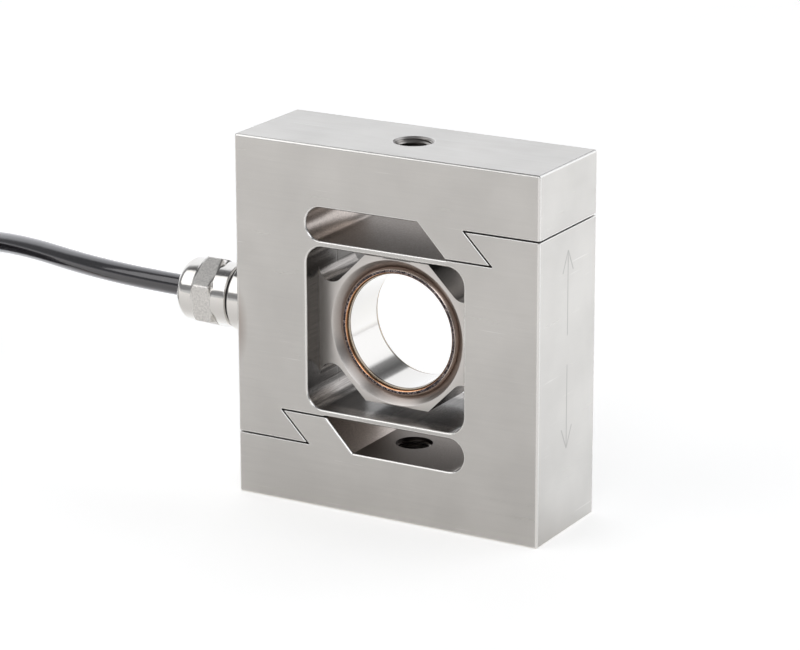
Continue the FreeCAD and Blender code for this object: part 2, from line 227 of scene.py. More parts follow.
def add_surface(add, colour, roughness, relief, strength, depth_mm, under=None, metallic=1.0, **more):
    """Ends a material with a relief of some depth and the surface that has it."""
    bump = {"Height": relief, "Strength": strength, "Distance": depth_mm * MM}
    if under:
        bump["Normal"] = under
    add("OutputMaterial", add("BsdfPrincipled", {
        "Base Color": colour, "Metallic": metallic, "Roughness": roughness, "Normal": add("Bump", bump),
        **more}))


def grinding_grain(add, mm, on_face):
    """Lines 0.6 to 0.8 mm wide at their coarsest, with finer ones in them, on each outer face."""
    grain = None
    finishes = (
        (0, (math.radians(52), 0.0, 0.0), (0.5, 0.045, 1.6)),
        (1, (0.0, math.radians(4), 0.0), (0.05, 0.5, 1.3)),
        (2, (0.0, 0.0, math.radians(28)), (0.06, 1.4, 0.5)),
    )
    for axis, turn, scale in finishes:
        place = add("Mapping", mm, {"Rotation": turn, "Scale": scale})
        lines = add("TexNoise", place, {"Scale": 1.0, "Detail": 5.0, "Roughness": 0.62, "Distortion": 0.25})
        share = add("Math MULTIPLY", lines, on_face[axis])
        if grain is None:
            grain = share
        else:
            grain = add("Math ADD", grain, share)
    return grain


def light_scratches(add, mm):
    """Scratches a tenth of a millimetre wide that cross the grain in places."""
    place = add("Mapping", mm, {"Rotation": (0.5, 0.45, 0.2), "Scale": (0.05, 0.05, 2.4)})
    scratches = add("TexNoise", place, {"Scale": 1.0, "Detail": 1.0})
    where = add("TexNoise", mm, {"Scale": 0.12, "Detail": 1.0})
    scratches = add("MapRange", scratches, 0.70, 0.76)
    where = add("MapRange", where, 0.50, 0.62)
    return add("Math MULTIPLY", scratches, where)


def dark_specks(add, mm):
    """Specks about 0.25 mm across, one in some of the 9 mm cells."""
    cells = add("TexVoronoi", mm, {"Scale": 0.11})
    specks = add("MapRange", cells.outputs["Distance"], 0.018, 0.010)
    chosen = add("SeparateColor", cells.outputs["Color"])
    chosen = add("MapRange", chosen.outputs[0], 0.55, 0.60)
    return add("Math MULTIPLY", specks, chosen)


def heat_bloom(add, coords, mm):
    """A brown bloom on the front, beside the port, from the heat of its fitting."""
    bloom = add("Mapping", mm, {"Location": (HALF_BLOCK[0] / 2.8, 0.0, 0.25),
                                "Scale": (1 / 2.8, 0.0, 1 / 9)})
    bloom = add("VectorMath LENGTH", bloom)
    bloom = add("MapRange", bloom, 1.0, 0.3, 0.0, 0.34)
    at_front = add("SeparateXYZ", coords.outputs["Normal"]).outputs[1]
    at_front = add("Math LESS_THAN", at_front, -0.9)
    return add("Math MULTIPLY", bloom, at_front)


def load_mark(add, coords, point):
    """The load mark engraved on the side: a fine double arrow in strokes 0.36 mm wide."""
    half_mark, barb_length, middle_gap = 21.5, 4.6, 3.2
    from_tip = add("Math SUBTRACT", half_mark, point.outputs[2])
    shaft = add("MapRange", point.outputs[1], 0.24, 0.12)
    barb = add("Math MULTIPLY_ADD", from_tip, -0.5, point.outputs[1])
    barb = add("Math ABSOLUTE", barb)
    barb = add("MapRange", barb, 0.26, 0.13)
    short = add("Math LESS_THAN", from_tip, barb_length)
    barb = add("Math MULTIPLY", barb, short)
    mark = add("Math MAXIMUM", shaft, barb)
    inner_end = add("Math GREATER_THAN", from_tip, 0.0)
    gap = add("Math GREATER_THAN", point.outputs[2], middle_gap)
    right = add("SeparateXYZ", coords.outputs["Normal"])
    right = add("Math GREATER_THAN", right.outputs[0], 0.9)
    for limit in (inner_end, gap, right):
        mark = add("Math MULTIPLY", mark, limit)
    return mark


def block_steel():
    """Stainless steel plate, ground on all outer faces and left eroded or milled inside: a warm grey
    satin with a fine grain along the wheel's path, a few specks and light scratches."""
    material, add = new_material("ground_stainless_plate")
    tint = colours()
    coords = add("TexCoord")
    mm = block_place(add, coords)
    reach = add("VectorMath ABSOLUTE", mm)
    away = add("VectorMath SUBTRACT", HALF_BLOCK, reach)
    away = add("SeparateXYZ", away)
    low = add("Math MINIMUM", add("Math MINIMUM", away.outputs[0], away.outputs[1]), away.outputs[2])
    # Outer faces have depth 0, their broken edges up to 0.35 mm, and all else is inside the block
    inside = add("MapRange", low, 0.36, 0.44)
    facing = add("VectorMath ABSOLUTE", coords.outputs["Normal"])
    facing = add("SeparateXYZ", facing)
    on_face = [add("MapRange", facing.outputs[i], 0.94, 0.98) for i in range(3)]

    grain = grinding_grain(add, mm, on_face)
    # Cloudy patches of about 20 mm, where the wheel was sharper or duller
    patches = add("TexNoise", mm, {"Scale": 0.055, "Detail": 3.0, "Roughness": 0.5})
    fine = add("TexNoise", mm, {"Scale": 2.6, "Detail": 2.0, "Roughness": 0.6})

    scratches = light_scratches(add, mm)
    specks = dark_specks(add, mm)

    # Outer colour: dull and bright grain, clouds, scratches and specks
    outer = add("Mix RGBA", grain, scaled(tint.ground, 0.84), tint.ground)
    clouds = add("MapRange", patches, 0.35, 0.65, 0.94, 1.03)
    outer = add("VectorMath SCALE", outer, clouds)
    faint = add("Math MULTIPLY", scratches, 0.45)
    outer = add("Mix RGBA", faint, outer, tint.edge)
    outer = add("Mix RGBA", specks, outer, tint.heat)

    bloom = heat_bloom(add, coords, mm)
    outer = add("Mix RGBA", bloom, outer, tint.heat)

    # Hand-rounded edges, outside and round the bore, which catch the lights as bright lines through their
    # rounded normals; the lighter broken-edge colour on them is a painted highlight
    wide = add("VectorMath MULTIPLY", mm, (1.0, 0.0, 1.0))
    radius = add("VectorMath LENGTH", wide)
    near_rim = add("Math COMPARE", radius, CONE_R, 0.5)
    near_outside = add("Math LESS_THAN", low, 0.9)
    near_edges = add("Math MAXIMUM", near_rim, near_outside)
    flat = add("NewGeometry").outputs["Normal"]
    rounded = add("Bevel", {"Radius": sizes().edge_round}, samples=8)
    rounded = add("Mix VECTOR", near_edges, flat, rounded)
    turned = add("VectorMath DOT_PRODUCT", rounded, flat)
    turned = add("MapRange", turned, 0.998, 0.975)
    square = add("Math MAXIMUM", add("Math MAXIMUM", on_face[0], on_face[1]), on_face[2])
    on_edge = add("Math SUBTRACT", 1.0, square, use_clamp=True)
    on_edge = add("Math MAXIMUM", on_edge, turned)
    # Painted highlight: the edges take the lighter broken-edge colour
    outer = add("Mix RGBA", on_edge, outer, tint.edge)

    point = add("SeparateXYZ", reach)
    mark = load_mark(add, coords, point)
    outer = add("Mix RGBA", mark, outer, scaled(tint.ground, 0.66))

    # Inside: milled window, milled web, eroded pockets, and the counterbore's oxide colours
    wall_place = add("Mapping", mm, {"Scale": (3.0, 0.09, 3.0)})
    mill_lines = add("TexNoise", wall_place, {"Scale": 1.0, "Detail": 4.0, "Roughness": 0.65})
    # Eroded pits, drawn 0.3 mm across where the real ones are finer, and milling lines in the window
    pits = add("TexNoise", mm, {"Scale": 3.2, "Detail": 3.0, "Roughness": 0.8})
    in_pocket = add("MapRange", point.outputs[2], POCKET_FROM_MID - 0.05, POCKET_FROM_MID + 0.05)
    wear = add("Mix", in_pocket, mill_lines, pits)
    worn = add("MapRange", wear, 0.32, 0.68, 0.70, 1.28)
    wall = add("Mix RGBA", on_face[2], tint.wired, tint.eroded)
    # The window's upright walls are darkened with painted shade, and the slope at its upper right is
    # darkest, also painted shade
    slope = add("VectorMath DOT_PRODUCT", coords.outputs["Normal"], (0.707, 0.0, 0.707))
    slope = add("Math GREATER_THAN", slope, 0.96)
    at_right = add("VectorMath DOT_PRODUCT", mm, (1.0, 0.0, 1.0))
    at_right = add("Math GREATER_THAN", at_right, 4.0)
    slope = add("Math MULTIPLY", slope, at_right)
    window = add("Mix RGBA", on_face[0], tint.milled, scaled(tint.milled, 0.34))
    window = add("Mix RGBA", slope, window, scaled(tint.milled, 0.05))
    # Painted shade: at the web's foot the window's floor is darkened, most next to the web
    foot = add("MapRange", point.outputs[1], 7.9, 9.6, 0.38, 1.0)
    foot = add("Mix", on_face[2], 1.0, foot)
    window = add("VectorMath SCALE", window, foot)
    inner = add("Mix RGBA", in_pocket, window, wall)
    inner = add("VectorMath SCALE", inner, worn)
    # The walls of the tapped holes: satin at the mouth on an outer face, and darkened with painted shade
    # deeper in and in a pocket
    on_axis = add("VectorMath MULTIPLY", mm, (1.0, 1.0, 0.0))
    on_axis = add("VectorMath LENGTH", on_axis)
    on_axis = add("Math LESS_THAN", on_axis, 5.2)
    mouth = add("Math SUBTRACT", on_axis, on_face[2], use_clamp=True)
    mouth_tone = add("Mix RGBA", inside, "#B9B5B2", "#4B4643")
    inner = add("Mix RGBA", on_face[1], inner, tint.web)
    ring_place = add("MapRange", radius, BEAD_OUT_R, BEAD_OUT_R + 4)
    ring_noise = add("Math MULTIPLY_ADD", fine, 0.08, ring_place)
    oxide = add("ValToRGB", ring_noise)
    set_stops(oxide, [(0.02, "#94806F"), (0.10, "#A08F84"), (0.24, "#A59B95"), (0.40, "#B8B1AC"),
                      (0.56, "#D4CFCB")])
    near_bore = add("MapRange", radius, 17.4, 16.2)
    inner = add("Mix RGBA", near_bore, inner, oxide)
    colour = add("Mix RGBA", inside, outer, inner)
    colour = add("Mix RGBA", mouth, colour, mouth_tone)

    # Roughness: about 0.36 on ground faces with the grain in it, less on edges and in the window, and
    # more on the pockets' eroded floors
    rough = add("MapRange", grain, 0.3, 0.7, 0.27, 0.46)
    rough = add("Mix", on_edge, rough, 0.18)
    rough_wall = add("Mix", on_face[2], 0.30, 0.5)
    rough_in = add("Mix", in_pocket, 0.24, rough_wall)
    rough_in = add("Mix", on_face[1], rough_in, 0.34)
    rough_in = add("Mix", near_bore, rough_in, 0.28)
    rough = add("Mix", inside, rough, rough_in)
    rough = add("Mix", mouth, rough, 0.38)

    # Relief: the grain outside, milling lines and pits inside, and the engraved mark
    deep = add("Math MULTIPLY", wear, 4.0)
    relief = add("Mix", inside, grain, deep)
    relief = add("Math MULTIPLY_ADD", fine, 0.3, relief)
    on_outer_edge = add("Mix", inside, on_edge, 0.0)
    relief = add("Mix", on_outer_edge, relief, 0.5)
    relief = add("Math MULTIPLY_ADD", mark, -4.0, relief)
    relief = add("Math MULTIPLY_ADD", scratches, -0.5, relief)
    add_surface(add, colour, rough, relief, strength=0.35, depth_mm=0.012, under=rounded)
    return material


def thread_steel():
    """The block's own steel as the tap leaves it: bright flanks with torn lines along the turn."""
    material, add = new_material("tapped_stainless")
    here = add("TexCoord").outputs["Object"]
    place = add("Mapping", here, {"Scale": (500, 500, 6000)})
    torn = add("TexNoise", place, {"Scale": 1.0, "Detail": 4.0})
    tone = add("ValToRGB", torn)
    set_stops(tone, [(0.3, "#8B8682"), (0.7, "#C9C5C1")])
    add_surface(add, tone, 0.3, torn, strength=0.3, depth_mm=0.02)
    return material


def sleeve_steel():
    """Thin stainless tube, polished bright inside, with a brown and straw oxide on its lips."""
    material, add = new_material("polished_stainless_sleeve")
    tint = colours()
    mm = block_place(add, add("TexCoord"))
    reach = add("VectorMath ABSOLUTE", mm)
    reach = add("SeparateXYZ", reach).outputs[1]
    lip = add("MapRange", reach, SHOULDER_Y - 0.3, SHOULDER_Y - 0.1)
    place = add("Mapping", mm, {"Scale": (0.35, 2.0, 0.35)})
    clouds = add("TexNoise", place, {"Scale": 1.0, "Detail": 4.0, "Roughness": 0.6})
    oxide = add("ValToRGB", clouds)
    set_stops(oxide, [(0.30, "#3E322A"), (0.55, tint.straw), (0.72, "#A08C78")])
    colour = add("Mix RGBA", lip, tint.polished, oxide)
    turning = add("Mapping", mm, {"Scale": (0.1, 9.0, 0.1)})
    lines = add("TexNoise", turning, {"Scale": 1.0, "Detail": 3.0})
    rough = add("MapRange", lines, 0.3, 0.7, 0.07, 0.16)
    add_surface(add, colour, rough, lines, strength=0.15, depth_mm=0.004)
    return material


def weld_lip():
    """Stainless lip melted by the weld: smooth and shiny, in oxide colours that run from straw at the bore
    over brown and copper to a pale crest and a dull grey foot. The pale crest and the light copper beside
    it are a painted highlight, and the dark brown is partly a painted dark reflection."""
    material, add = new_material("heat_tinted_weld_lip_with_painted_highlight")
    mm = block_place(add, add("TexCoord"))
    wide = add("VectorMath MULTIPLY", mm, (1.0, 0.0, 1.0))
    radius = add("VectorMath LENGTH", wide)
    clouds = add("TexNoise", wide, {"Scale": 0.45, "Detail": 4.0, "Roughness": 0.6})
    shifted = add("Math MULTIPLY_ADD", clouds, 0.25, radius)
    place = add("MapRange", shifted, BEAD_IN_R - 0.35, BEAD_OUT_R + 0.3)
    oxide = add("ValToRGB", place)
    set_stops(oxide, [(0.02, "#A39A8E"), (0.08, "#B9A78F"), (0.15, "#6A5442"), (0.23, "#A0683F"),
                      (0.31, "#EDB48A"), (0.40, "#FFF0E4"), (0.62, "#F3E4DA"), (0.74, "#D2C3B9"),
                      (0.86, "#B9A79C"), (0.97, "#B2A8A2")])
    waves = add("TexNoise", wide, {"Scale": 1.3, "Detail": 2.0})
    add_surface(add, oxide, 0.2, waves, strength=0.25, depth_mm=0.05)
    return material


def weld_metal():
    """Fused weld metal with a violet-black oxide skin and a few bare glints."""
    material, add = new_material("oxidised_weld_seam")
    tint = colours()
    here = add("TexCoord").outputs["Object"]
    spots = add("TexNoise", here, {"Scale": 2600.0, "Detail": 3.0, "Roughness": 0.7})
    tone = add("ValToRGB", spots)
    set_stops(tone, [(0.36, "#1B171A"), (0.48, tint.weld), (0.57, "#857A7C"), (0.66, "#CDBFB6")])
    add_surface(add, tone, 0.38, spots, strength=0.6, depth_mm=0.06, metallic=0.9)
    return material


def gland_steel():
    """Stainless bar, turned and polished on its round parts and milled on the hexagon's flats."""
    material, add = new_material("turned_stainless_gland")
    tint = colours()
    coords = add("TexCoord")
    mm = block_place(add, coords)
    part = add("SeparateXYZ", mm)
    along = add("Math LESS_THAN", part.outputs[0], HEX_FROM)
    flats = add("Math GREATER_THAN", part.outputs[0], HEX_TO)
    on_hexagon = add("Math MULTIPLY", flats, along)
    facing = add("VectorMath ABSOLUTE", coords.outputs["Normal"])
    facing = add("SeparateXYZ", facing).outputs[0]
    level = add("MapRange", facing, 0.08, 0.02)
    flats = add("Math MULTIPLY", on_hexagon, level)
    # Milling marks about 0.4 mm apart on the flats, and turning lines too fine to see elsewhere
    mill = add("TexNoise", mm, {"Scale": 2.3, "Detail": 3.0, "Roughness": 0.85})
    turning = add("Mapping", mm, {"Scale": (8.0, 0.12, 0.12)})
    lines = add("TexNoise", turning, {"Scale": 1.0, "Detail": 3.0})
    dull, bright = scaled(tint.polished, 0.76), scaled(tint.polished, 1.12)
    spread = add("MapRange", mill, 0.34, 0.66)
    milled = add("Mix RGBA", spread, dull, bright)
    colour = add("Mix RGBA", flats, tint.polished, milled)
    smooth = add("MapRange", lines, 0.3, 0.7, 0.10, 0.17)
    # The hexagon's corners are rounded off wide and bright, all other edges finely
    in_hexagon = add("Math MULTIPLY_ADD", on_hexagon, 0.65 * MM, 0.25 * MM)
    rounded = add("Bevel", {"Radius": in_hexagon}, samples=12)
    turned = add("VectorMath DOT_PRODUCT", rounded, add("NewGeometry").outputs["Normal"])
    corner = add("MapRange", turned, 0.995, 0.97)
    flats = add("Math SUBTRACT", flats, corner, use_clamp=True)
    rough = add("Mix", flats, smooth, 0.40)
    relief = add("Mix", flats, lines, mill)
    depth = add("Mix", flats, 0.10, 0.4)
    add_surface(add, colour, rough, relief, strength=depth, depth_mm=0.03, under=rounded)
    return material


def jacket_pvc():
    """Extruded PVC jacket: deep black and glossy, with the faint waves that extrusion leaves."""
    material, add = new_material("extruded_pvc_jacket")
    here = add("TexCoord").outputs["Object"]
    waves = add("TexNoise", here, {"Scale": 130.0, "Detail": 2.0})
    dust = add("TexNoise", here, {"Scale": 2200.0, "Detail": 3.0})
    tone = add("Mix RGBA", dust, colours().jacket, "#1D1D20")
    rough = add("MapRange", dust, 0.3, 0.7, 0.14, 0.22)
    relief = add("Math MULTIPLY_ADD", dust, 0.03, waves)
    coat = {"Coat Weight": 0.9, "Coat IOR": 1.6, "Coat Roughness": 0.07, "Coat Tint": (1.0, 0.97, 1.0)}
    add_surface(add, tone, rough, relief, strength=0.5, depth_mm=0.25, metallic=0.0, IOR=1.62, **coat)
    return material


def soft_plastic(name, code, roughness, grit_mm=0.4, relief_mm=0.02):
    """A moulded or extruded polymer: even colour with a slight grit in tone, gloss and surface."""
    material, add = new_material(name)
    here = add("TexCoord").outputs["Object"]
    grit = add("TexNoise", here, {"Scale": 1.0 / (grit_mm * MM), "Detail": 3.0})
    tone = add("Mix RGBA", grit, scaled(linear(code), 0.82), scaled(linear(code), 1.12))
    rough = add("MapRange", grit, 0.3, 0.7, roughness - 0.06, roughness + 0.06)
    add_surface(add, tone, rough, grit, strength=0.4, depth_mm=relief_mm, metallic=0.0, IOR=1.5)
    return material


def tinned_copper():
    """Twisted strands dipped in solder: a soft silvery skin with the strands' slant showing."""
    material, add = new_material("tinned_copper_strands")
    here = add("TexCoord").outputs["Object"]
    place = add("Mapping", here, {"Rotation": (0.0, 0.0, 0.6), "Scale": (2600, 900, 2600)})
    strands = add("TexWave", place, {"Scale": 0.5, "Distortion": 1.5})
    tone = add("ValToRGB", strands.outputs["Fac"])
    set_stops(tone, [(0.0, "#8C8A86"), (1.0, "#D5D2CC")])
    add_surface(add, tone, 0.33, strands.outputs["Fac"], strength=0.5, depth_mm=0.05)
    return material


def foil_gauge(name, film, foil, spacing_mm):
    """Etched foil on a polyimide film: amber film with fine parallel metal lines."""
    material, add = new_material(name)
    here = add("TexCoord").outputs["Object"]
    lines = add("TexWave", here, {"Scale": 0.05 / (spacing_mm * MM), "Distortion": 0.0},
                bands_direction="Y")
    metal = add("MapRange", lines.outputs["Fac"], 0.45, 0.55)
    tone = add("Mix RGBA", metal, film, foil)
    shine = add("Math MULTIPLY", metal, 0.9)
    add_surface(add, tone, 0.32, metal, strength=0.4, depth_mm=0.01, metallic=shine)
    return material


# Modelling


def deselect_all():
    for chosen in list(bpy.context.selected_objects):
        chosen.select_set(False)


def choose(piece):
    """Makes an object the only selected one, and the active one."""
    deselect_all()
    piece.select_set(True)
    bpy.context.view_layer.objects.active = piece


def edit_mode():
    """Opens the active mesh for editing, with all of it selected."""
    bpy.ops.object.mode_set(mode="EDIT")
    bpy.ops.mesh.select_all(action="SELECT")


def object_mode():
    bpy.ops.object.mode_set(mode="OBJECT")


def pick(test):
    """In edit mode, selects just the vertices, and what they bound, whose place passes the test."""
    mesh = bpy.context.object.data
    shape = bmesh.from_edit_mesh(mesh)
    for part in (*shape.faces, *shape.edges, *shape.verts):
        part.select_set(False)
    for vertex in shape.verts:
        if test(vertex.co):
            vertex.select_set(True)
    shape.select_flush(True)
    bmesh.update_edit_mesh(mesh)


def add_modifier(kind, **settings):
    """Adds a modifier to the active object, sets it and applies it."""
    piece = bpy.context.object
    modifier = piece.modifiers.new(kind.title(), kind)
    for name, value in settings.items():
        setattr(modifier, name, value)
    bpy.ops.object.modifier_apply(modifier=modifier.name)


def make_piece(name, material, replaced=(), smooth=math.radians(35)):
    """Names the active object, smooths it, brings its place into its mesh and lets it ride."""
    piece = bpy.context.object
    choose(piece)
    bpy.ops.object.transform_apply(location=True, rotation=True, scale=True)
    bpy.ops.object.shade_smooth_by_angle(angle=smooth)
    piece.name = name
    piece.data.name = name
    piece.data.materials.clear()
    piece.data.materials.append(material)
    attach(piece, "root")
    if replaced:
        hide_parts(*replaced)
    return piece


def dress(names, material):
    """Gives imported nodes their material, with their shape left as it is."""
    for name in names:
        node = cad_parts[name]
        if node.material_slots:
            node.material_slots[0].material = material
        else:
            node.data.materials.append(material)


class LOADCELL_OT_block(bpy.types.Operator):
    """Gives the slit block its ground, milled, eroded and heat-tinted steel"""
    bl_idname = "loadcell.block"
    bl_label = "Block"
    bl_options = {"REGISTER", "UNDO"}

    def execute(self, context):
        dress(["s_body"], block_steel())
        return {"FINISHED"}


class LOADCELL_OT_threads(bpy.types.Operator):
    """Winds the thread of the top hole, cuts its lead-in, and copies it to the bottom hole"""
    bl_idname = "loadcell.threads"
    bl_label = "Threads"
    bl_options = {"REGISTER", "UNDO"}

    def execute(self, context):
        material = thread_steel()
        ridge = self.wind_ridge(context)
        self.cut_ends(context, ridge)
        make_piece("top_thread_ridge", material)
        choose(ridge)
        bpy.ops.object.duplicate()
        copy = context.object
        copy.data.transform(Matrix.Translation((0, 0, 2 * MID_Z * MM)) @ Matrix.Rotation(math.pi, 4, "Y"))
        make_piece("bottom_thread_ridge", material)
        return {"FINISHED"}

    def wind_ridge(self, context):
        """One closed ridge, a turn longer than the hole is deep."""
        size = sizes()
        deselect_all()
        pitch = size.thread_pitch
        depth = size.thread_root_r - size.thread_crest_r
        low = HOLE_FLOOR * MM - pitch / 2
        turns = math.ceil((HOLE_TOP - HOLE_FLOOR) * MM / pitch) + 1
        # A ridge's section: seven eighths of the pitch at the root, a quarter at the crest
        middle = (size.thread_root_r + size.thread_crest_r) / 2
        bpy.ops.mesh.primitive_plane_add(size=1, location=(middle, 0, low), rotation=(math.pi / 2, 0, 0))
        ridge = context.object
        ridge.scale = (depth + 0.02 * MM, 1, 1)
        bpy.ops.object.transform_apply(location=True, rotation=True, scale=True)
        edit_mode()
        for inner, share in ((True, 0.25), (False, 0.875)):
            pick(lambda co: (co.x < middle) == inner)
            bpy.ops.transform.resize(value=(1, 1, pitch * share), center_override=(middle, 0, low))
        bpy.ops.mesh.select_all(action="SELECT")
        bpy.ops.mesh.delete(type="ONLY_FACE")
        object_mode()
        add_modifier("SCREW", axis="Z", angle=2 * math.pi * turns, screw_offset=pitch * turns,
                     steps=40 * turns, render_steps=40 * turns, use_merge_vertices=False)
        edit_mode()
        bpy.ops.mesh.remove_doubles(threshold=0.001 * MM)
        bpy.ops.mesh.select_all(action="DESELECT")
        bpy.ops.mesh.select_non_manifold()
        bpy.ops.mesh.edge_face_add()
        bpy.ops.mesh.select_all(action="SELECT")
        bpy.ops.mesh.normals_make_consistent(inside=False)
        object_mode()
        return ridge

    def cut_ends(self, context, ridge):
        """Cuts the ridge with a cone for the lead-in at the mouth, and a cube under its last turn."""
        size = sizes()
        deselect_all()
        top = HOLE_TOP * MM
        cone_low, cone_high = top - 2 * size.thread_lead, top + 2 * size.thread_pitch
        mouth_r = size.thread_root_r + 0.45 * MM
        bpy.ops.mesh.primitive_cone_add(vertices=96, radius1=mouth_r + cone_low - top,
                                        radius2=mouth_r + cone_high - top, depth=cone_high - cone_low,
                                        location=(0, 0, (cone_low + cone_high) / 2))
        cutter = context.object
        edit_mode()
        thread_end, side = HOLE_FLOOR + 0.8, 12
        bpy.ops.mesh.primitive_cube_add(size=side * MM, location=(0, 0, (thread_end - side / 2) * MM))
        object_mode()
        choose(ridge)
        add_modifier("BOOLEAN", operation="DIFFERENCE", object=cutter, solver="EXACT")
        bpy.data.objects.remove(cutter)


class LOADCELL_OT_welds(bpy.types.Operator):
    """Raises the smooth welded lip round the sleeve, with its rippled seam, front and rear"""
    bl_idname = "loadcell.welds"
    bl_label = "Weld beads"
    bl_options = {"REGISTER", "UNDO"}

    def execute(self, context):
        self.centre = Vector((0, -SHOULDER_Y * MM, MID_Z * MM))
        self.middle = BEAD_IN_R * MM - 0.45 * MM + sizes().lip_width / 2
        lip = self.make_lip()
        seam = self.make_seam(context)
        rear = ((lip, "rear_weld_lip", []), (seam, "rear_weld_seam", ["rear_weld_bead"]))
        for front, name, covers in rear:
            choose(front)
            bpy.ops.object.duplicate()
            context.object.data.transform(Matrix.Rotation(math.pi, 4, "Z"))
            make_piece(name, front.data.materials[0], covers, math.pi)
        return {"FINISHED"}

    def make_lip(self):
        """The lip of sleeve and block, melted into one smooth half round."""
        size = sizes()
        deselect_all()
        bpy.ops.mesh.primitive_torus_add(location=self.centre, rotation=(math.pi / 2, 0, 0),
                                         major_radius=self.middle, minor_radius=size.lip_width / 2,
                                         major_segments=192, minor_segments=28)
        bpy.context.object.scale = (1, 1, size.lip_height / (size.lip_width / 2))
        return make_piece("front_weld_lip", weld_lip(), (), math.pi)

    def make_seam(self, context):
        """The narrow dark seam of ripples along the lip's crest."""
        size = sizes()
        half = size.seam_width / 2
        crest = self.centre - Vector((0, size.lip_height - 0.05 * MM, 0))
        deselect_all()
        bpy.ops.mesh.primitive_torus_add(location=crest, rotation=(math.pi / 2, 0, 0),
                                         major_radius=self.middle, minor_radius=half * 0.85,
                                         major_segments=192, minor_segments=12)
        seam = context.object
        seam.scale = (1, 1, 0.55)
        bpy.ops.object.transform_apply(location=True, rotation=True, scale=True)
        deselect_all()
        # One ripple: a flat drop that leans back over the one before it
        bpy.ops.mesh.primitive_uv_sphere_add(segments=12, ring_count=7, radius=half,
                                             location=crest + Vector((self.middle, 0, 0)))
        ripple = context.object
        ripple.scale = (1.1, 0.8, 0.62)
        ripple.rotation_euler = (math.radians(24), 0, 0)
        bpy.ops.object.transform_apply(location=True, rotation=True, scale=True)
        edit_mode()
        bpy.ops.mesh.spin(steps=size.seam_ripples, dupli=True, angle=2 * math.pi, center=crest,
                          axis=(0, 1, 0))
        object_mode()
        seam.select_set(True)
        context.view_layer.objects.active = seam
        bpy.ops.object.join()
        add_modifier("REMESH", mode="VOXEL", voxel_size=0.06 * MM)
        return make_piece("front_weld_seam", weld_metal(), ["front_weld_bead"], math.pi)


class LOADCELL_OT_sleeve(bpy.types.Operator):
    """Gives the welded sleeve its polished bore and tinted lips"""
    bl_idname = "loadcell.sleeve"
    bl_label = "Sleeve"
    bl_options = {"REGISTER", "UNDO"}

    def execute(self, context):
        dress(["sealing_sleeve"], sleeve_steel())
        return {"FINISHED"}


class LOADCELL_OT_bridge(bpy.types.Operator):
    """Gives the sealed gauges, their flexible board and its chips their materials"""
    bl_idname = "loadcell.bridge"
    bl_label = "Gauge bridge"
    bl_options = {"REGISTER", "UNDO"}

    def execute(self, context):
        dress([f"strain_gauge_{i}" for i in (1, 2, 3, 4)],
              foil_gauge("constantan_foil_on_polyimide", "#B06A1E", "#C9A27C", spacing_mm=0.25))
        dress(["flex_board"], foil_gauge("copper_on_polyimide", "#A8641C", "#C97F4E", spacing_mm=0.4))
        dress(["trim_chip_upper", "trim_chip_lower"], soft_plastic("fired_chip_resistor", "#1F1F22", 0.4))
        return {"FINISHED"}


